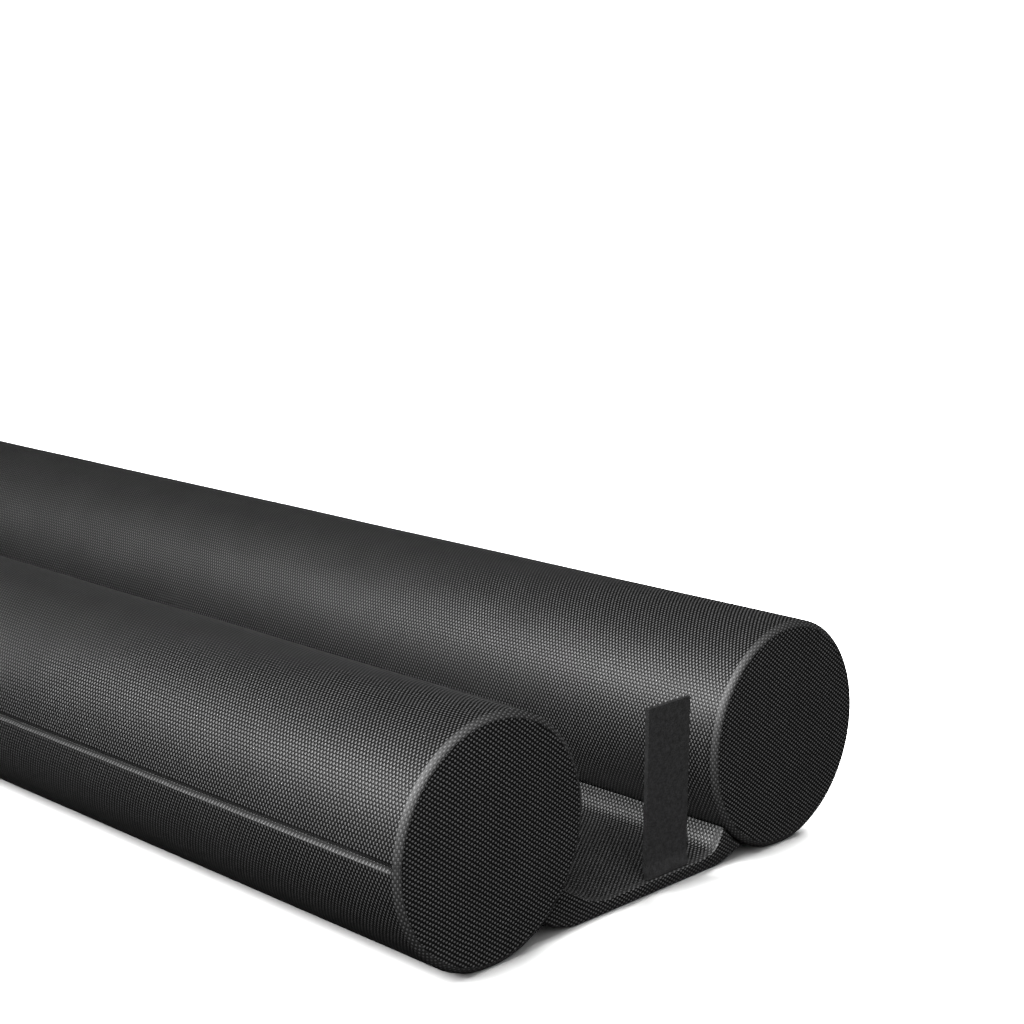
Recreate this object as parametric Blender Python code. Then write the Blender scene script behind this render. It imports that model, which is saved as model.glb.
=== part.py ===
# Draught excluder for the foot of a door: two filled cloth rolls, joined by a web that runs under the door.
# Metres, +Z up. The rolls run along X, with the end that carries the strap on +X.
# The front roll lies on -Y and the back roll on +Y. The floor is Z = 0.

import math

import bmesh
import bpy

# Driving dimensions of the whole
LENGTH = 0.900
ROLL_HEIGHT = 0.0586
ROLL_RADIUS = 0.0295
ROLL_SPACING = 0.1066
GAP = 0.0003

# A roll's rounded rim, and the disc sewn into it
RIM_ROUND = 0.0014
RIM_STEPS = 4
DISC_THICKNESS = 0.0012

# The lengthwise seam on a roll's outer side, as arc lengths above mid-height
SEAM_CREASE = 0.0026
SEAM_UPPER_WIDTH = 0.0005
SEAM_LOWER_WIDTH = 0.0023
SEAM_DEPTH = 0.0010
SEAM_STOPS_SHORT = 0.0020

# The web under the door. Each side turns up to its roll: from y "flat" on the floor and y "top_flat" on top,
# to the "lower" and "upper" creases on the roll, in degrees below horizontal, the top rising by a power.
WEB_THICKNESS = 0.0034
WEB_SET_BACK = 0.0020
WEB_EDGE_ROUND = 0.0006
WEB_LOWER_POWER = 1.5
WEB_SIDES = {
    "front": {"side": -1, "flat": -0.0235, "top_flat": -0.013, "lower": 55.5, "upper": 37.0, "power": 1.5},
    "back": {"side": 1, "flat": 0.0280, "top_flat": 0.022, "lower": 61.0, "upper": 41.0, "power": 4.0},
}

# The strap: a tape standing against the door's edge, its foot coming forward over the web's end
STRAP_WIDTH = 0.0155
STRAP_THICKNESS = 0.0011
STRAP_MIDDLE = 0.00975
STRAP_TOP = 0.0465
STRAP_INNER_FACE = 0.4460
STRAP_FOOT_FORWARD = 0.0007
STRAP_FOOT_HEIGHT = 0.0075

# Worked out from the above
END = LENGTH / 2
ROLL_AXIS_HEIGHT = ROLL_HEIGHT - ROLL_RADIUS
ROLL_OFFSET = ROLL_SPACING / 2
WEB_END = END - WEB_SET_BACK
WEB_ARC_RADIUS = ROLL_RADIUS + GAP
CIRCLE_STEPS = 80


def clear_scene():
    """Remove every object of the scene, so the script can run again."""
    for item in list(bpy.data.objects):
        bpy.data.objects.remove(item, do_unlink=True)


def make_material(name, colour, roughness):
    """A plain Principled cloth material."""
    material = bpy.data.materials.new(name)
    material.use_nodes = True
    shader = material.node_tree.nodes["Principled BSDF"]
    shader.inputs["Base Color"].default_value = (*colour, 1.0)
    shader.inputs["Roughness"].default_value = roughness
    shader.inputs["Metallic"].default_value = 0.0
    material.diffuse_color = (*colour, 1.0)
    return material


def finish(name, bm, material):
    """Turn a bmesh into a named object of the scene, its faces pointing out."""
    bmesh.ops.recalc_face_normals(bm, faces=bm.faces)
    mesh = bpy.data.meshes.new(name)
    bm.to_mesh(mesh)
    bm.free()
    mesh.materials.append(material)
    thing = bpy.data.objects.new(name, mesh)
    bpy.context.collection.objects.link(thing)
    return thing


def add_ring(bm, points):
    """A closed loop of edges through the points."""
    verts = [bm.verts.new(point) for point in points]
    return [bm.edges.new((a, b)) for a, b in zip(verts, verts[1:] + verts[:1])]


def loft(rings):
    """One closed body through rings of equal length, with a flat cap on the first and the last."""
    bm = bmesh.new()
    loops = [add_ring(bm, points) for points in rings]
    for a, b in zip(loops, loops[1:]):
        bmesh.ops.bridge_loops(bm, edges=a + b)
    for loop in (loops[0], loops[-1]):
        bmesh.ops.contextual_create(bm, geom=loop)
    return bm


def roll_angles():
    """Angles round a roll: even steps, and the few that the seam needs."""
    even = [2 * math.pi * i / CIRCLE_STEPS for i in range(CIRCLE_STEPS)]
    upper = SEAM_CREASE + SEAM_UPPER_WIDTH
    lower = SEAM_CREASE - SEAM_LOWER_WIDTH
    seam = [upper, SEAM_CREASE]
    seam += [SEAM_CREASE - SEAM_LOWER_WIDTH * i / 3 for i in (1, 2, 3)]
    seam = [arc / ROLL_RADIUS for arc in seam]
    clear = math.radians(1.0)
    outside = [a for a in even if not lower / ROLL_RADIUS - clear < a < upper / ROLL_RADIUS + clear]
    return sorted(outside + seam)


def seam_dip(angle):
    """Depth of the seam's groove at an angle above the outward horizontal."""
    arc = angle * ROLL_RADIUS - SEAM_CREASE
    if arc >= 0:
        return SEAM_DEPTH * max(0.0, 1 - arc / SEAM_UPPER_WIDTH)
    return SEAM_DEPTH * max(0.0, 1 + arc / SEAM_LOWER_WIDTH) ** 1.5


def roll_outline(x, side, inset=0.0, seam=0.0):
    """A roll's cross-section at x. Its flat spot and its circle both shrink by the inset."""
    points = []
    for angle in roll_angles():
        radius = ROLL_RADIUS - inset - seam * seam_dip(angle)
        y = side * (ROLL_OFFSET + radius * math.cos(angle))
        z = ROLL_AXIS_HEIGHT + radius * math.sin(angle)
        points.append((x, y, max(z, inset)))
    return points


def build_roll(name, side, material):
    """A filled roll. Its ends are rounded over and hold a recess for the disc."""
    half = []
    recess = DISC_THICKNESS + GAP
    half.append((END - recess, RIM_ROUND, 0.0))
    for i in range(RIM_STEPS + 1):
        turn = math.pi / 2 * (1 - i / RIM_STEPS)
        x = END - RIM_ROUND + RIM_ROUND * math.sin(turn)
        half.append((x, RIM_ROUND * (1 - math.cos(turn)), 0.0))
    half.append((END - RIM_ROUND - SEAM_STOPS_SHORT, 0.0, 1.0))
    rings = [roll_outline(x, side, inset, seam) for x, inset, seam in half]
    rings += [roll_outline(-x, side, inset, seam) for x, inset, seam in reversed(half)]
    return finish(name, loft(rings), material)


def build_disc(name, side, end, material):
    """The round end piece, flush with the rim and one gap inside it."""
    inset = RIM_ROUND + GAP
    inner = end * (END - DISC_THICKNESS)
    outer = end * END
    rings = [roll_outline(inner, side, inset), roll_outline(outer, side, inset)]
    return finish(name, loft(rings), material)


def ease(a, b, t):
    """From a to b with a level start and a level end."""
    return a + (b - a) * t * t * (3 - 2 * t)


def web_side(side, flat, top_flat, lower, upper, power):
    """Half of the web's outline: out along its underside, up the roll's face, and back along its top."""
    def on_roll(degrees):
        turn = math.radians(degrees)
        y = ROLL_OFFSET - WEB_ARC_RADIUS * math.cos(turn)
        z = ROLL_AXIS_HEIGHT - WEB_ARC_RADIUS * math.sin(turn)
        return side * y, z
    low_y, low_z = on_roll(lower)
    high_y, high_z = on_roll(upper)
    points = []
    for i in range(6):
        t = i / 6
        points.append((flat + (low_y - flat) * t, low_z * t ** WEB_LOWER_POWER))
    for i in range(6):
        points.append(on_roll(lower + (upper - lower) * i / 6))
    for i in range(9):
        t = math.cos(math.pi / 2 * i / 8) ** (1 / power)
        y = top_flat + (high_y - top_flat) * t
        z = WEB_THICKNESS + (high_z - WEB_THICKNESS) * t ** power
        points.append((y, z))
    return points


def build_web(name, material):
    """The band under the door, flat on the floor and turned up to both rolls."""
    outline = web_side(**WEB_SIDES["back"]) + web_side(**WEB_SIDES["front"])[::-1]
    bm = bmesh.new()
    face = bm.faces.new([bm.verts.new((-WEB_END, y, z)) for y, z in outline])
    result = bmesh.ops.extrude_face_region(bm, geom=[face])
    moved = [item for item in result["geom"] if isinstance(item, bmesh.types.BMVert)]
    bmesh.ops.translate(bm, verts=moved, vec=(2 * WEB_END, 0, 0))
    bmesh.ops.recalc_face_normals(bm, faces=bm.faces)
    edges = [edge for edge in bm.edges if is_web_end_edge(edge)]
    bmesh.ops.bevel(bm, geom=edges, offset=WEB_EDGE_ROUND, segments=2, profile=0.5, affect="EDGES",
                    material=-1)
    return finish(name, bm, material)


def is_web_end_edge(edge):
    """True for an edge across an end of the web, along its top or its underside."""
    a, b = (vert.co for vert in edge.verts)
    if abs(a.x - b.x) > 1e-6:
        return False
    middle = (a + b) / 2
    away = math.hypot(abs(middle.y) - ROLL_OFFSET, middle.z - ROLL_AXIS_HEIGHT)
    return away > WEB_ARC_RADIUS + 0.0002


def build_strap(name, material):
    """The tape: straight up the door's edge, its foot eased forward to the web's end."""
    foot = WEB_THICKNESS + GAP
    heights = [foot + (STRAP_FOOT_HEIGHT - foot) * i / 5 for i in range(6)] + [STRAP_TOP]
    inner = []
    for z in heights:
        t = max(0.0, (STRAP_FOOT_HEIGHT - z) / (STRAP_FOOT_HEIGHT - foot))
        inner.append((STRAP_INNER_FACE + ease(0, STRAP_FOOT_FORWARD, t), z))
    outer = [(x + STRAP_THICKNESS, z) for x, z in reversed(inner)]
    bm = bmesh.new()
    near = STRAP_MIDDLE - STRAP_WIDTH / 2
    face = bm.faces.new([bm.verts.new((x, near, z)) for x, z in inner + outer])
    result = bmesh.ops.extrude_face_region(bm, geom=[face])
    moved = [item for item in result["geom"] if isinstance(item, bmesh.types.BMVert)]
    bmesh.ops.translate(bm, verts=moved, vec=(0, STRAP_WIDTH, 0))
    return finish(name, bm, material)


clear_scene()
roll_cloth = {
    "front": make_material("front_roll_cloth", (0.030, 0.030, 0.031), 0.62),
    "back": make_material("back_roll_cloth", (0.027, 0.027, 0.028), 0.64),
}
for place, side in (("front", -1), ("back", 1)):
    build_roll(place + "_roll", side, roll_cloth[place])
    for far, end in (("near", 1), ("far", -1)):
        disc_cloth = make_material(f"{place}_{far}_disc_cloth", (0.020, 0.020, 0.021), 0.66)
        build_disc(f"{place}_roll_{far}_disc", side, end, disc_cloth)
build_web("under_door_web", make_material("web_cloth", (0.022, 0.022, 0.023), 0.66))
build_strap("door_edge_strap", make_material("hook_and_loop_tape", (0.024, 0.024, 0.025), 0.85))
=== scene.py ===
# %% [markdown]
# # A double draught excluder
# The real object is sewn from one charcoal cloth. Two long rolls are filled with foam, a flat web joins them
# along the floor, a round disc closes each end of each roll, and a short strap of hook-and-loop tape stands
# up from the web's near end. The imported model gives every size, and this script gives the looks.

# %% Load the frame and keep its box
import math

import bmesh
import bpy
from mathutils import Matrix, Vector, noise


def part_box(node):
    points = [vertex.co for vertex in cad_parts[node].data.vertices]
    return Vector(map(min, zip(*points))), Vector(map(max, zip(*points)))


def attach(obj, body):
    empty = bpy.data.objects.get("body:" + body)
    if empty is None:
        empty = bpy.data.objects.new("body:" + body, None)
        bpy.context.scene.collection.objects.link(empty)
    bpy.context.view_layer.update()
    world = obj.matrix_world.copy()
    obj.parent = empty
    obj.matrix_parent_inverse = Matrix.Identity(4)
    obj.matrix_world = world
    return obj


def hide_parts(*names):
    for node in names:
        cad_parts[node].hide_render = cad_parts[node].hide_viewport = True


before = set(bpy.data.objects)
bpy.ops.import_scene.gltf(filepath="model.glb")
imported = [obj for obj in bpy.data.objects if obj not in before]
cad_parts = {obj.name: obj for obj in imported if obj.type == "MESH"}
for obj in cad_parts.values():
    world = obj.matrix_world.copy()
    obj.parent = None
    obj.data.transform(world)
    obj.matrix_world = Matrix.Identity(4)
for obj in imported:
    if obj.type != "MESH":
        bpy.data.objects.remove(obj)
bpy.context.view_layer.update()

# %% [markdown]
# The sizes that the pieces share are read from the frame's boxes, so a roll here is exactly as long and as
# round as the solid it stands for. Only what a box can't say is given here: how far the cloth is pulled
# in and along at a rim, the power of that curve (2 would be a round, less is a flatter shoulder), how deep
# the disc sits, and the gap between the web and a roll.

# %% Shared sizes, in metres
roll_low, roll_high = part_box("front_roll")
END = roll_high.x
ROLL_RADIUS = (roll_high.y - roll_low.y) / 2
ROLL_OFFSET = -(roll_high.y + roll_low.y) / 2
AXIS_HEIGHT = roll_high.z - ROLL_RADIUS
RIM_DROP = 0.0016
RIM_LENGTH = 0.0013
RIM_POWER = 1.5
RECESS = 0.0015
SEWING_GAP = 0.0003
print("roll radius", round(ROLL_RADIUS, 5), "axes at", round(ROLL_OFFSET, 5), round(AXIS_HEIGHT, 5))

# %% [markdown]
# ## Camera
# The photograph is a close view of one end, from a little above, with the rolls running away to the left.
# A camera is easiest to place from its three directions: where it looks, its right and its up. A small shift
# of the lens keeps the upright edges as they are in the photograph.

# %% Camera
CAMERA_PLACE = Vector((0.7376, -0.3514, 0.1905))
CAMERA_LOOKS = Vector((-0.6926, 0.6886, -0.2146)).normalized()
CAMERA_RIGHT = Vector((0.7050, 0.7092, 0.0)).normalized()
CAMERA_UP = CAMERA_RIGHT.cross(CAMERA_LOOKS)

lens = bpy.data.cameras.new("camera")
lens.sensor_width = 36
lens.lens = 70.84
lens.shift_x = 0.0557
lens.shift_y = 0.0152
camera = bpy.data.objects.new("camera", lens)
turn = Matrix((CAMERA_RIGHT, CAMERA_UP, -CAMERA_LOOKS)).transposed().to_4x4()
camera.matrix_world = Matrix.Translation(CAMERA_PLACE) @ turn
bpy.context.collection.objects.link(camera)
bpy.context.scene.camera = camera

# %% [markdown]
# ## The key light
# The sheen on the rolls is narrow up and down and even along them, so the photograph's light is a long
# strip in front and to the right. Its turn and its rise are angles seen from the near end. A wide strip
# gives the even sheen along the rolls, and its small height keeps the sheen narrow across them.

# %% Key light
NEAR_END = Vector((END, 0, 0.03))
KEY_TURN = math.radians(29.5)
KEY_RISE = math.radians(44.5)
KEY_DISTANCE = 0.9
KEY_WIDTH = 1.85
KEY_HEIGHT = 0.4
KEY_WATTS = 98

key_data = bpy.data.lights.new("key", "AREA")
key_data.shape = "RECTANGLE"
key_data.size = KEY_WIDTH
key_data.size_y = KEY_HEIGHT
key_data.energy = KEY_WATTS
key = bpy.data.objects.new("key", key_data)
key_way = Vector((math.sin(KEY_TURN) * math.cos(KEY_RISE), -math.cos(KEY_TURN) * math.cos(KEY_RISE),
                  math.sin(KEY_RISE)))
facing = (-key_way).to_track_quat("-Z", "Y").to_matrix().to_4x4()
key.matrix_world = Matrix.Translation(NEAR_END + key_way * KEY_DISTANCE) @ facing
bpy.context.collection.objects.link(key)
print("key light", KEY_WIDTH, "by", KEY_HEIGHT, "m")

# %% [markdown]
# ## The floor
# In the photograph the undersides stay nearly black, so hardly any light comes back from the ground. The
# floor here is a plain dull grey that is kept out of the cloth's light and out of its reflections.

# %% Floor
FLOOR_HALF = 40
FLOOR_GREY = (0.35, 0.35, 0.35, 1)

bm = bmesh.new()
bmesh.ops.create_grid(bm, x_segments=1, y_segments=1, size=FLOOR_HALF)
floor_mesh = bpy.data.meshes.new("floor")
bm.to_mesh(floor_mesh)
bm.free()
floor = bpy.data.objects.new("floor", floor_mesh)
bpy.context.collection.objects.link(floor)
floor.visible_glossy = False
floor.visible_diffuse = False
white = bpy.data.materials.new("pale_floor")
white.use_nodes = True
paint = white.node_tree.nodes["Principled BSDF"]
paint.inputs["Base Color"].default_value = FLOOR_GREY
paint.inputs["Roughness"].default_value = 1.0
paint.inputs["Specular IOR Level"].default_value = 0.0
floor_mesh.materials.append(white)

# %% [markdown]
# ## Lamps for the floor and lamps for the cloth
# The ground is white right up to a tight shadow beside the cloth. One lamp can't give both that shadow and
# the sheen, so light linking splits the work. Two suns from above the far end, one on each side, keep the
# floor's shadow short all round, and a faint wide one fills it. Only the floor receives them. The key and
# two low fills light everything but the floor. The fills come from behind and from the far end, so that
# those sides aren't black, and they add no gloss, so the near side hardly changes.

# %% Suns
FLOOR_LIGHTS = {
    "floor_from_front": {"way": (-0.30, -0.67, 0.67), "strength": 29.0, "spread": 42},
    "floor_from_back": {"way": (-0.30, 0.67, 0.67), "strength": 29.0, "spread": 42},
    "floor_from_all_round": {"way": (0.0, 0.0, 1.0), "strength": 3.2, "spread": 160},
}
FILL_LIGHTS = {
    "fill_from_back": {"way": (-0.25, 0.96, 0.12), "strength": 20.0, "spread": 20},
    "fill_from_far_end": {"way": (-0.98, -0.10, 0.12), "strength": 20.0, "spread": 20},
}


def add_sun(name, way, strength, spread, receivers):
    """A lamp far away, shining from the direction way on the receivers alone."""
    sun_data = bpy.data.lights.new(name, "SUN")
    sun_data.energy = strength
    sun_data.angle = math.radians(spread)
    sun = bpy.data.objects.new(name, sun_data)
    sun.rotation_euler = (-Vector(way)).to_track_quat("-Z", "Y").to_euler()
    sun.light_linking.receiver_collection = receivers
    bpy.context.collection.objects.link(sun)
    return sun


floor_only = bpy.data.collections.new("floor_only")
floor_only.objects.link(floor)
all_but_floor = bpy.data.collections.new("all_but_floor")
all_but_floor.objects.link(floor)
all_but_floor.collection_objects[0].light_linking.link_state = "EXCLUDE"
key.light_linking.receiver_collection = all_but_floor
for name, choice in FLOOR_LIGHTS.items():
    add_sun(name, **choice, receivers=floor_only)
for name, choice in FILL_LIGHTS.items():
    fill = add_sun(name, **choice, receivers=all_but_floor)
    fill.visible_glossy = False
print(len(FLOOR_LIGHTS), "suns for the floor,", len(FILL_LIGHTS), "fills for the cloth")

# %% [markdown]
# ## The world
# It is white where the camera sees past the floor, and nearly dark to everything else, so it adds no light
# of its own. A Light Path node tells the two apart.

# %% World
WORLD_DIM = 0.01
WORLD_SEEN = 1.2

world = bpy.data.worlds.new("studio")
world.use_nodes = True
bpy.context.scene.world = world
sky = world.node_tree.nodes["Background"]
seen = world.node_tree.nodes.new("ShaderNodeLightPath")
level = world.node_tree.nodes.new("ShaderNodeMapRange")
level.inputs["To Min"].default_value = WORLD_DIM
level.inputs["To Max"].default_value = WORLD_SEEN
world.node_tree.links.new(seen.outputs["Is Camera Ray"], level.inputs["Value"])
world.node_tree.links.new(level.outputs["Result"], sky.inputs["Strength"])
sky.inputs["Color"].default_value = (1, 1, 1, 1)
bpy.context.scene.view_settings.view_transform = "Standard"

# %% [markdown]
# ## Shader maths
# A weave is a formula, and a formula is easier to read as Python than as a list of nodes. Value wraps one
# output socket, and each operator on it adds one Math node. Finish holds a material while it is made, and
# its node method makes any other node: the settings first, then the sockets.

# %% Shader maths
class Value:
    """An output socket that Python's arithmetic works on."""

    def __init__(self, finish, socket):
        self.finish = finish
        self.socket = socket

    def math(self, operation, *others):
        return self.finish.math(operation, self, *others)

    def __add__(self, other):
        return self.math("ADD", other)

    def __radd__(self, other):
        return self.finish.math("ADD", other, self)

    def __sub__(self, other):
        return self.math("SUBTRACT", other)

    def __rsub__(self, other):
        return self.finish.math("SUBTRACT", other, self)

    def __mul__(self, other):
        return self.math("MULTIPLY", other)

    def __rmul__(self, other):
        return self.finish.math("MULTIPLY", other, self)


class Finish:
    """A material in the making: its node tree and its Principled shader."""

    def __init__(self, name):
        self.material = bpy.data.materials.new(name)
        self.material.use_nodes = True
        self.tree = self.material.node_tree
        self.shader = self.tree.nodes["Principled BSDF"]

    def node(self, kind, settings=None, sockets=None, out=0):
        """Any node: its settings, then the values or links of its sockets. Gives back one output."""
        node = self.tree.nodes.new(kind)
        for name, value in (settings or {}).items():
            setattr(node, name, value)
        for name, value in (sockets or {}).items():
            self.plug(node.inputs[name], value)
        return Value(self, node.outputs[out])

    def plug(self, socket, value):
        """A link from a wrapped value, or a plain number or colour."""
        if isinstance(value, Value):
            self.tree.links.new(value.socket, socket)
        else:
            socket.default_value = value

    def math(self, operation, *values):
        sockets = dict(enumerate(values))
        return self.node("ShaderNodeMath", {"operation": operation}, sockets)

    def smooth(self, value, low, high):
        """0 below low, 1 above high, and a soft step between them."""
        return self.node("ShaderNodeMapRange", {"interpolation_type": "SMOOTHSTEP"},
                         {"Value": value, "From Min": low, "From Max": high})

    def mix(self, factor, a, b):
        """A colour between a and b."""
        return self.node("ShaderNodeMix", {"data_type": "RGBA"}, {0: factor, 6: a, 7: b}, out=2)

    def noise(self, vector, scale, detail=2.0):
        return self.node("ShaderNodeTexNoise", {"noise_dimensions": "3D"},
                         {"Vector": vector, "Scale": scale, "Detail": detail})

    def stretch(self, vector, factors):
        """A vector scaled by three factors."""
        return self.node("ShaderNodeVectorMath", {"operation": "MULTIPLY"}, {0: vector, 1: factors})


# %% [markdown]
# ## The cloth
# It is a plain weave of a grey yarn over a black one. Where the grey yarn passes on top it shows as a small
# long dot, and the dots sit like bricks, each row half a step along. The product of two cosines has just
# that pattern: it is high on every second cell and low on the others. The grey dots, the black floats
# between them and the dips where the yarns cross all come from that one wave. Every piece of cloth carries a
# UV map in real metres, so the yarns follow the cloth round each roll at their real size.
#
# The grey yarn's soft sheen is a coat layer, which only the dots carry. Under it the whole cloth has a weak
# gloss, which fills the gaps between the dots where the light is strongest. Noise makes some yarns duller
# and lets their rows wander a little. Two places on a roll differ. At the rim the cloth is pulled over an
# edge, so its yarns close up and the sheen is even. In the sewn seam the wall that faces up is pressed flat
# and catches the light. The wall that faces down is folded in: its sheen is cut, and its colour is darkened
# towards black as painted shade.

# %% Cloth material
YARN_FINE = 0.000540
YARN_COARSE = 0.000850
GREY_YARN = (0.0205, 0.0205, 0.0209, 1)
DULL_YARN = (0.0115, 0.0115, 0.0117, 1)
BLACK_YARN = (0.0004, 0.0004, 0.0004, 1)
YARN_SHEEN = 0.31
MOTTLED_SHEEN = 0.46
SHEEN_ROUGHNESS = 0.57
SHEEN_IOR = 2.0
CLOTH_ROUGHNESS = 0.39
CLOTH_GLOSS = 0.29
RIM_SHEEN = 0.01
RIM_ROUGHER = 0.19
PRESSED_SHEEN = 0.27
WEAVE_RELIEF = 0.00007


def weave_cloth(name, cell_u, cell_v, rim=None, seam=None):
    """A plain weave whose yarns cross every cell_u by cell_v metres of the piece's UV map.

    Past the distance rim along u the cloth is pulled over an edge, where its yarns close up. At the
    distance seam along v it is sewn in, and the other wall of that fold is where v starts."""
    finish = Finish(name)
    uv = finish.node("ShaderNodeUVMap", {"uv_map": "cloth"})
    wander = finish.noise(uv, 160.0, 1.0)
    split = finish.node("ShaderNodeSeparateXYZ", None, {0: uv})
    place = Value(finish, split.socket.node.outputs["X"])
    arc = Value(finish, split.socket.node.outputs["Y"])
    u = place * (math.pi / cell_u) + (wander - 0.5) * 1.6
    v = arc * (math.pi / cell_v) + (wander - 0.5) * 1.2
    wave = u.math("COSINE") * v.math("COSINE")
    dot = finish.smooth(wave, 0.22, 0.60)
    black_float = finish.smooth(wave * -1.0, 0.10, 0.90)

    grain = finish.noise(finish.stretch(uv, (1 / cell_u, 1 / cell_v, 1.0)), 0.45, 1.0)
    streaks = finish.noise(finish.stretch(uv, (1 / cell_u, 0.05 / cell_v, 1.0)), 0.8, 1.0)
    lightness = finish.smooth(grain * 0.6 + streaks * 0.4, 0.30, 0.70)
    yarn = finish.mix(lightness, DULL_YARN, GREY_YARN)
    colour = finish.mix(dot, BLACK_YARN, yarn)
    mottle = finish.noise(uv, 70.0, 2.0)
    gloss = dot * (YARN_SHEEN + mottle * MOTTLED_SHEEN)
    roughness = CLOTH_ROUGHNESS
    if seam:
        pressed = finish.smooth(arc, seam - 0.0012, seam - 0.0009)
        # painted shade: the wall folded into the seam has its colour darkened towards black, and its sheen
        # cut
        folded_wall_painted_shade = 1 - finish.smooth(arc, 0.0013, 0.0017)
        gloss = gloss + pressed * (PRESSED_SHEEN - gloss) * 0.55
        gloss = gloss * (1 - folded_wall_painted_shade * 0.85)
        colour = finish.mix(folded_wall_painted_shade * 0.6, colour, BLACK_YARN)
    if rim:
        closed = finish.smooth(place.math("ABSOLUTE"), rim - 0.0004, rim + 0.0003)
        gloss = gloss + closed * (RIM_SHEEN - gloss) * 0.85
        roughness = roughness + closed * RIM_ROUGHER

    height = dot + black_float * 0.55
    relief = {"Strength": 0.6, "Distance": WEAVE_RELIEF, "Height": height}
    bump = finish.node("ShaderNodeBump", None, relief)
    finish.plug(finish.shader.inputs["Base Color"], colour)
    finish.plug(finish.shader.inputs["Normal"], bump)
    finish.plug(finish.shader.inputs["Roughness"], roughness)
    finish.plug(finish.shader.inputs["Specular IOR Level"], CLOTH_GLOSS)
    finish.plug(finish.shader.inputs["Coat Weight"], gloss)
    finish.plug(finish.shader.inputs["Coat Roughness"], SHEEN_ROUGHNESS)
    finish.plug(finish.shader.inputs["Coat IOR"], SHEEN_IOR)
    print(name, len(finish.tree.nodes), "nodes")
    return finish.material


# %% [markdown]
# ## Small tools for meshes
# Each piece is a bmesh that becomes one object at the origin. The map is written in metres, and the faces
# are shaded smooth.

# %% Mesh tools
def make_piece(name, bm, material, nodes):
    """A finished piece: normals out, shaded smooth, standing for its CAD nodes."""
    bmesh.ops.recalc_face_normals(bm, faces=bm.faces)
    mesh = bpy.data.meshes.new(name)
    bm.to_mesh(mesh)
    bm.free()
    mesh.materials.append(material)
    mesh.shade_smooth()
    mesh.set_sharp_from_angle(angle=math.radians(40))
    piece = bpy.data.objects.new(name, mesh)
    bpy.context.collection.objects.link(piece)
    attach(piece, "root")
    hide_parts(*nodes)
    print(name, len(mesh.polygons), "faces")
    return piece


def write_map(bm, place):
    """A UV map named cloth: place(face, vert) gives the metres across and along the cloth."""
    layer = bm.loops.layers.uv.new("cloth")
    for face in bm.faces:
        for loop in face.loops:
            loop[layer].uv = place(face, loop.vert)


# %% [markdown]
# ## The rolls: section and spin
# A roll is a tube of cloth pulled over foam. Its half-section is a line of a few points, with a shoulder
# for the rounded rim and a small step where the disc is sewn in. Close rings beside the shoulder keep its
# bright edge narrow, because smooth shading spreads a bend over the whole face beside it. Spinning that
# line about the roll's axis gives the tube. The spin starts at the lengthwise seam and has small steps
# beside it, because the groove there is only a few millimetres wide.

# %% Roll section and spin
SEAM_CREASE = 0.0016 / ROLL_RADIUS
RIM_STEPS = 9
BESIDE_RIM = (0.0016, 0.0006, 0.0002)
RINGS = 70
STEPS_ABOVE_SEAM = (0.0021 / ROLL_RADIUS, 14)
STEPS_BELOW_SEAM = (0.0012 / ROLL_RADIUS, 12)
STEPS_ROUND = 76


def roll_section(bm, side):
    """The roll's half-section from axis to axis, lying in the plane of the seam's crease."""
    shoulder = []
    for i in range(RIM_STEPS + 1):
        turn = math.pi / 2 * i / RIM_STEPS
        out = math.sin(turn) ** (2 / RIM_POWER)
        up = max(math.cos(turn), 0.0) ** (2 / RIM_POWER)
        shoulder.append((END - RIM_LENGTH * (1 - out), ROLL_RADIUS - RIM_DROP * (1 - up)))
    beside = [(END - RIM_LENGTH - away, ROLL_RADIUS) for away in BESIDE_RIM]
    half = beside + shoulder + [(END - RECESS, ROLL_RADIUS - RIM_DROP), (END - RECESS, 0)]
    corners = [(-x, r) for x, r in reversed(half)] + half
    along = bm.verts.layers.float["along"]
    verts = [bm.verts.new((x, side * r, 0)) for x, r in corners]
    edges = [bm.edges.new(pair) for pair in zip(verts, verts[1:])]
    for sign in (-1, 1):
        walked = END - RIM_LENGTH - BESIDE_RIM[0]
        ordered = sorted((v for v in verts if v.co.x * sign > 0), key=lambda v: verts.index(v) * sign)
        for before, vert in zip([ordered[0]] + ordered, ordered):
            walked += (vert.co - before.co).length
            vert[along] = sign * walked
    middle = max(edges, key=lambda edge: edge.calc_length())
    bmesh.ops.subdivide_edges(bm, edges=[middle], cuts=RINGS)
    for vert in bm.verts:
        if abs(vert.co.x) < END - RIM_LENGTH:
            vert[along] = vert.co.x
    bmesh.ops.rotate(bm, verts=bm.verts, cent=(0, 0, 0), matrix=Matrix.Rotation(side * SEAM_CREASE, 3, "X"))


def spin_roll(bm, side):
    """Spins the half-section once round, in stages with their own step."""
    rest = 2 * math.pi - STEPS_ABOVE_SEAM[0] - STEPS_BELOW_SEAM[0]
    stages = [STEPS_ABOVE_SEAM, (rest, STEPS_ROUND), STEPS_BELOW_SEAM]
    geom = list(bm.verts) + list(bm.edges)
    for angle, steps in stages:
        result = bmesh.ops.spin(bm, geom=geom, cent=(0, 0, 0), axis=(side, 0, 0), angle=angle, steps=steps)
        geom = result["geom_last"]
    bmesh.ops.remove_doubles(bm, verts=bm.verts, dist=0.00002)

# %% [markdown]
# ## The rolls: the cloth's map
# The map is the cloth laid flat: its length along the roll, which also goes over the rims, and its arc round
# the roll, cut where the seam is.

# %% Roll map
def turned_from_crease(co, side):
    """Angle of a point round the roll's axis, from 0 at the seam's crease, going up and over."""
    angle = math.atan2(co.z, side * co.y) - SEAM_CREASE
    return angle % (2 * math.pi)


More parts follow.
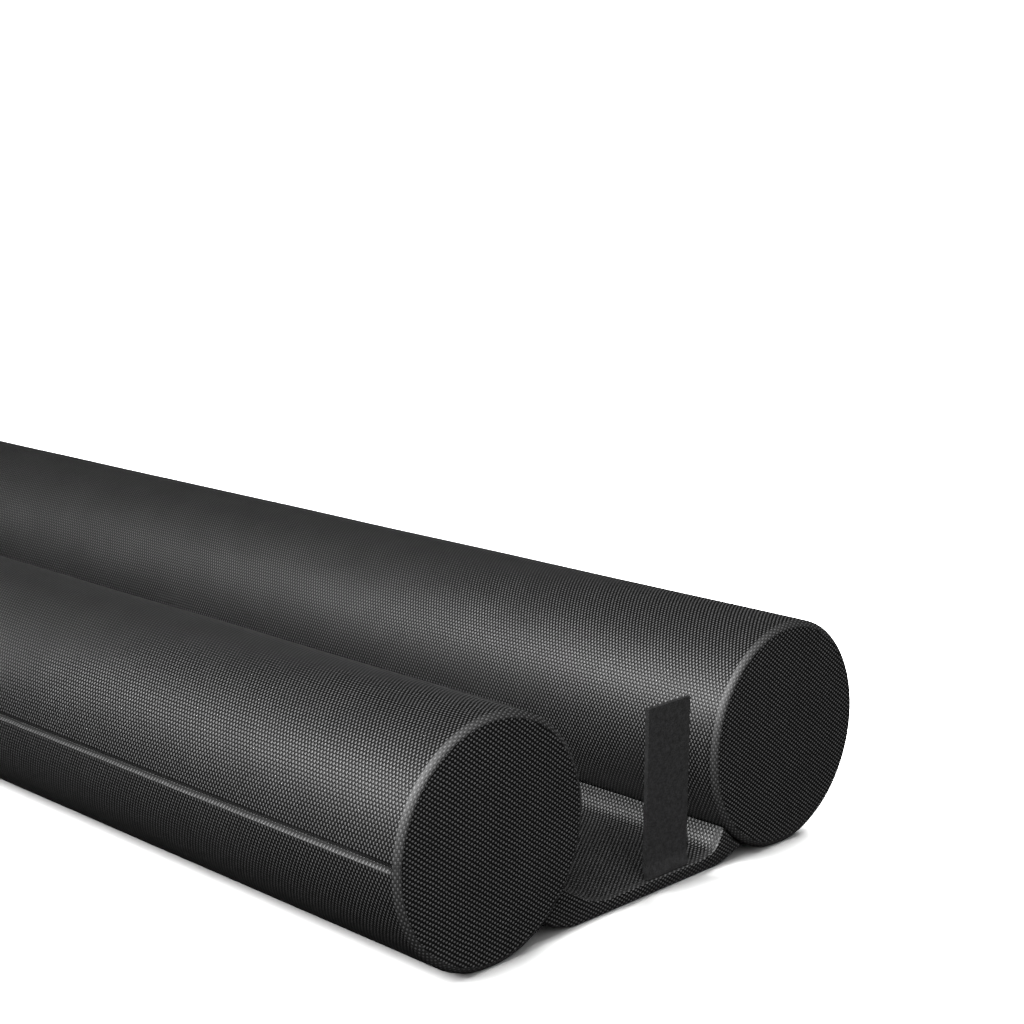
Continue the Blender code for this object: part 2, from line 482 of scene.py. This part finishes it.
def map_roll(bm, side):
    """The cloth's map round a roll, cut along the seam, where the real cloth's edges meet."""
    along = bm.verts.layers.float["along"]

    def place(face, vert):
        angle = turned_from_crease(vert.co, side)
        middle = turned_from_crease(face.calc_center_median(), side)
        if angle < 0.01 and middle > math.pi:
            angle += 2 * math.pi
        if angle > 2 * math.pi - 0.01 and middle < math.pi:
            angle -= 2 * math.pi
        return vert[along], angle * ROLL_RADIUS
    write_map(bm, place)


# %% [markdown]
# ## The rolls: seam and resting place
# The foam is firm and fills the cloth, so the tube stays round and its outline straight. Swelling it with
# Blender's Cloth was tried: it made the outline wavy and came out a little different each time, so here
# noise gives the cloth its unevenness, a tenth of a millimetre. The seam's groove has a straight wall above
# the crease and a rounder one below it, and it runs out just before each rim. The roll is then moved to
# its place, and it goes flat where it would sink into the floor.

# %% Seam and rest
SEAM_UPPER_WIDTH = 0.0014
SEAM_LOWER_WIDTH = 0.0011
SEAM_LOWER_POWER = 1.3
SEAM_DEPTH = 0.00125
SEAM_STOPS_SHORT = 0.0020
RIM_KEPT = 0.0012
UNEVENNESS = 0.00010


def seam_dip(arc):
    """Depth of the sewn groove at an arc above its crease: one wall above and one below."""
    if arc > 0:
        return SEAM_DEPTH * max(0.0, 1 - arc / SEAM_UPPER_WIDTH)
    return SEAM_DEPTH * max(0.0, 1 + arc / SEAM_LOWER_WIDTH) ** SEAM_LOWER_POWER


def dress_roll(bm, side, seed):
    """Sinks the seam, adds the cloth's slight unevenness, moves the roll to its place and rests it."""
    for vert in bm.verts:
        co = vert.co
        radius = math.hypot(co.y, co.z)
        if radius < 1e-6:
            continue
        turned = turned_from_crease(co, side)
        arc = (turned if turned < math.pi else turned - 2 * math.pi) * ROLL_RADIUS
        fade = min(1.0, max(0.0, (END - RIM_KEPT - abs(co.x)) / SEAM_STOPS_SHORT))
        lumps = noise.noise(Vector((co.x * 22, turned * 1.5, seed))) * UNEVENNESS
        moved = radius - seam_dip(arc) * fade + lumps * fade
        vert.co = Vector((co.x, co.y * moved / radius, co.z * moved / radius))
    bmesh.ops.translate(bm, verts=bm.verts, vec=(0, side * ROLL_OFFSET, AXIS_HEIGHT))
    for vert in bm.verts:
        vert.co.z = max(vert.co.z, 0.0)

# %% [markdown]
# ## Both rolls
# The back one is the front one mirrored, with its own unevenness, so both seams look away from the web.

# %% Build the rolls
def build_roll(name, side, seed, material):
    bm = bmesh.new()
    bm.verts.layers.float.new("along")
    roll_section(bm, side)
    spin_roll(bm, side)
    map_roll(bm, side)
    dress_roll(bm, side, seed)
    piece = make_piece(name, bm, material, [name.replace("_cloth", "")])
    return piece


roll_cloth = weave_cloth("charcoal_weave_on_rolls", YARN_FINE * 0.97, YARN_COARSE * 1.02,
                         rim=END - RIM_LENGTH, seam=2 * math.pi * ROLL_RADIUS)
build_roll("front_roll_cloth", -1, 3.0, roll_cloth)
build_roll("back_roll_cloth", 1, 7.0, roll_cloth)

# %% [markdown]
# ## The end discs
# Each is a round of the same cloth, laid with its coarser yarns level. It starts as a circle and is given
# its thickness. Rings are then inset in its outer face, and the middle swells very slightly over the foam.

# %% Discs
DISC_THICKNESS = 0.0012
DISC_CROWN = 0.00025
DISC_OPENING = 0.00006
DISC_INSETS = (0.0004, 0.0012, 0.003, 0.005, 0.006, 0.006)


def build_disc(name, side, end, material):
    radius = ROLL_RADIUS - RIM_DROP - DISC_OPENING
    bm = bmesh.new()
    bmesh.ops.create_circle(bm, segments=128, radius=radius, cap_ends=True)
    result = bmesh.ops.extrude_face_region(bm, geom=list(bm.faces))
    raised = [item for item in result["geom"] if isinstance(item, bmesh.types.BMVert)]
    bmesh.ops.translate(bm, verts=raised, vec=(0, 0, DISC_THICKNESS))
    top = [face for face in bm.faces if face.calc_center_median().z > DISC_THICKNESS * 0.9]
    for width in DISC_INSETS:
        bmesh.ops.inset_region(bm, faces=top, thickness=width, use_even_offset=True)
    for vert in bm.verts:
        away = math.hypot(vert.co.x, vert.co.y) / radius
        if vert.co.z > DISC_THICKNESS * 0.5:
            vert.co.z += DISC_CROWN * (1 - away ** 2)
    bmesh.ops.rotate(bm, verts=bm.verts, cent=(0, 0, 0), matrix=Matrix.Rotation(math.pi / 2, 3, "Y"))
    bmesh.ops.scale(bm, verts=bm.verts, vec=(end, 1, 1))
    place = (end * (END - DISC_THICKNESS), side * ROLL_OFFSET, AXIS_HEIGHT)
    bmesh.ops.translate(bm, verts=bm.verts, vec=place)
    write_map(bm, lambda face, vert: (vert.co.y, vert.co.z))
    piece = make_piece(name, bm, material, [name.replace("_cloth", "")])
    return piece


disc_cloth = weave_cloth("charcoal_weave_on_discs", YARN_COARSE * 0.976, YARN_FINE * 1.083)
for place, side in (("front", -1), ("back", 1)):
    for far, end in (("near", 1), ("far", -1)):
        build_disc(f"{place}_roll_{far}_disc_cloth", side, end, disc_cloth)

# %% [markdown]
# ## The web
# Two layers of the cloth run from roll to roll. The section lies flat on the floor and turns up to each
# roll, more steeply at the back. Angles say where on a roll its underside and its top are sewn on, and
# powers say how sharply each turns up. The section is extruded along the rolls and its ends are bevelled.

# %% Web
WEB_SIDES = {
    "front": {"side": -1, "flat": -0.0235, "top_flat": -0.013, "lower": 55.5, "upper": 37.0, "power": 1.5},
    "back": {"side": 1, "flat": 0.0280, "top_flat": 0.022, "lower": 61.0, "upper": 41.0, "power": 4.0},
}
web_low, web_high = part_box("under_door_web")
WEB_END = web_high.x
WEB_THICKNESS = 0.0034
WEB_LOWER_POWER = 1.5
WEB_EDGE_ROUND = 0.0005
WEB_UNEVENNESS = 0.0002


def web_side(side, flat, top_flat, lower, upper, power):
    """Half of the web's section: out along its underside, up the roll's face, and back along its top."""
    reach = ROLL_RADIUS + SEWING_GAP

    def on_roll(degrees):
        angle = math.radians(degrees)
        return side * (ROLL_OFFSET - reach * math.cos(angle)), AXIS_HEIGHT - reach * math.sin(angle)

    low_y, low_z = on_roll(lower)
    high_y, high_z = on_roll(upper)
    points = []
    for i in range(12):
        t = i / 12
        points.append((flat + (low_y - flat) * t, low_z * t ** WEB_LOWER_POWER))
    for i in range(8):
        points.append(on_roll(lower + (upper - lower) * i / 8))
    for i in range(17):
        t = math.cos(math.pi / 2 * i / 16) ** (1 / power)
        rise = (high_z - WEB_THICKNESS) * t ** power
        points.append((top_flat + (high_y - top_flat) * t, WEB_THICKNESS + rise))
    return points


def build_web(material):
    outline = web_side(**WEB_SIDES["back"]) + web_side(**WEB_SIDES["front"])[::-1]
    bm = bmesh.new()
    arc_layer = bm.verts.layers.float.new("arc")
    verts = [bm.verts.new((-WEB_END, y, z)) for y, z in outline]
    arc = 0.0
    for vert, before in zip(verts, [verts[0]] + verts):
        arc += (vert.co - before.co).length
        vert[arc_layer] = arc
    face = bm.faces.new(verts)
    result = bmesh.ops.extrude_face_region(bm, geom=[face])
    moved = [item for item in result["geom"] if isinstance(item, bmesh.types.BMVert)]
    bmesh.ops.translate(bm, verts=moved, vec=(2 * WEB_END, 0, 0))
    bmesh.ops.recalc_face_normals(bm, faces=bm.faces)
    rims = [edge for edge in bm.edges if is_web_end(edge)]
    bmesh.ops.bevel(bm, geom=rims, offset=WEB_EDGE_ROUND, segments=4, profile=0.5, affect="EDGES",
                    material=-1)
    long_edges = [edge for edge in bm.edges if abs(edge.verts[0].co.x - edge.verts[1].co.x) > WEB_END]
    bmesh.ops.subdivide_edges(bm, edges=long_edges, cuts=100, use_grid_fill=True)

    def place(face, vert):
        if abs(face.normal.x) > 0.7:
            return vert.co.z, vert.co.y
        return vert.co.x, vert[arc_layer]

    bm.normal_update()
    write_map(bm, place)
    for vert in bm.verts:
        if vert.co.z > WEB_THICKNESS * 0.9:
            vert.co.z += noise.noise(Vector((vert.co.x * 25, vert.co.y * 40, 1.7))) * WEB_UNEVENNESS
    piece = make_piece("under_door_web_cloth", bm, material, ["under_door_web"])
    return piece


def is_web_end(edge):
    """True for an edge across an end of the web, along its top or its underside."""
    a, b = (vert.co for vert in edge.verts)
    if abs(a.x - b.x) > 1e-6:
        return False
    middle = (a + b) / 2
    away = math.hypot(abs(middle.y) - ROLL_OFFSET, middle.z - AXIS_HEIGHT)
    return away > ROLL_RADIUS + SEWING_GAP + 0.0002


build_web(weave_cloth("charcoal_weave_on_web", YARN_FINE, YARN_COARSE, WEB_END - 0.002))

# %% [markdown]
# ## The strap
# It is a stiff woven tape with a napped face, which takes the light like short fur: dull, in fine clumps.
# Its side outline stands up from the web's end, where the foot curves forward into the sewing, and the
# outline is extruded across the tape's width.

# %% Strap
strap_low, strap_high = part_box("door_edge_strap")
TAPE_THICKNESS = 0.0011
TAPE_FOOT_HEIGHT = 0.0075


def tape_finish():
    """Dull napped tape: fine fibres in clumps."""
    finish = Finish("hook_and_loop_nap")
    place = finish.node("ShaderNodeTexCoord", None, None, out=3)
    fibres = finish.noise(place, 2600.0, 3.0)
    clumps = finish.noise(place, 700.0, 2.0)
    shade = finish.smooth(fibres * 0.6 + clumps * 0.4, 0.30, 0.70)
    colour = finish.mix(shade, (0.0035, 0.0035, 0.0035, 1), (0.0082, 0.0082, 0.0084, 1))
    nap = {"Strength": 0.7, "Distance": 0.0002, "Height": fibres + clumps}
    bump = finish.node("ShaderNodeBump", None, nap)
    finish.plug(finish.shader.inputs["Base Color"], colour)
    finish.plug(finish.shader.inputs["Normal"], bump)
    finish.plug(finish.shader.inputs["Roughness"], 0.9)
    finish.plug(finish.shader.inputs["Specular IOR Level"], 0.05)
    return finish.material


def build_strap(material):
    """The tape's side outline, taken across its width."""
    foot_rise = TAPE_FOOT_HEIGHT - strap_low.z
    heights = [strap_low.z + foot_rise * i / 10 for i in range(11)]
    heights += [TAPE_FOOT_HEIGHT + (strap_high.z - TAPE_FOOT_HEIGHT) * i / 20 for i in range(1, 21)]
    forward = strap_high.x - strap_low.x - TAPE_THICKNESS
    inner = []
    for z in heights:
        t = max(0.0, (TAPE_FOOT_HEIGHT - z) / foot_rise)
        inner.append((strap_low.x + forward * t * t * (3 - 2 * t), z))
    outer = [(x + TAPE_THICKNESS, z) for x, z in reversed(inner)]
    bm = bmesh.new()
    face = bm.faces.new([bm.verts.new((x, strap_low.y, z)) for x, z in inner + outer])
    result = bmesh.ops.extrude_face_region(bm, geom=[face])
    moved = [item for item in result["geom"] if isinstance(item, bmesh.types.BMVert)]
    bmesh.ops.translate(bm, verts=moved, vec=(0, strap_high.y - strap_low.y, 0))
    piece = make_piece("door_edge_strap_tape", bm, material, ["door_edge_strap"])
    return piece


build_strap(tape_finish())
